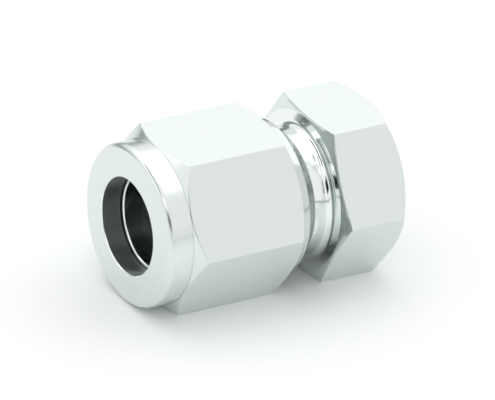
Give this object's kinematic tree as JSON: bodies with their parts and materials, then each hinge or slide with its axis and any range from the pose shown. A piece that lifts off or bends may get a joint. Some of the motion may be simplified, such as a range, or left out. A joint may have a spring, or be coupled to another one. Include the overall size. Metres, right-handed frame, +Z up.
{
  "type": "compression tube fitting cap",
  "caption": "Cap for the end of a metric tube: hexagonal blind body, female hexagonal nut and front and back ferrules, finger-tight.",
  "frame": {"origin": "centre of the tube stop at the bottom of the body's tube socket, on the fitting's axis", "axes": "-X out of the nut's mouth along the axis, +X to the closed end, +Z up with both hexagons lying on a flat"},
  "size_m": [0.0357, 0.0254, 0.022],
  "materials": {
    "stainless_body": "fine drawn flats and bright turned faces",
    "stainless_nut": "fine drawn flats and satin turned nose",
    "stainless_ferrule": "bright turned"
  },
  "bodies": {
    "body": {"cap_body": "stainless_body"},
    "ferrules": {"front_ferrule": "stainless_ferrule", "back_ferrule": "stainless_ferrule"},
    "nut": {"nut": "stainless_nut"}
  },
  "joints": [
    {"name": "nut_travel", "type": "slide", "parent": "body", "child": "ferrules", "axis": [-1, 0, 0], "range_m": [0, 0.01144]},
    {"name": "nut_turn", "type": "hinge", "parent": "ferrules", "child": "nut", "pos_m": [0, 0, 0], "axis": [-1, 0, 0], "range_deg": [0, 3240]}
  ],
  "couplings": [
    {"joint": "nut_travel", "follows": "nut_turn", "m_per_rad": 0.00020213}
  ]
}
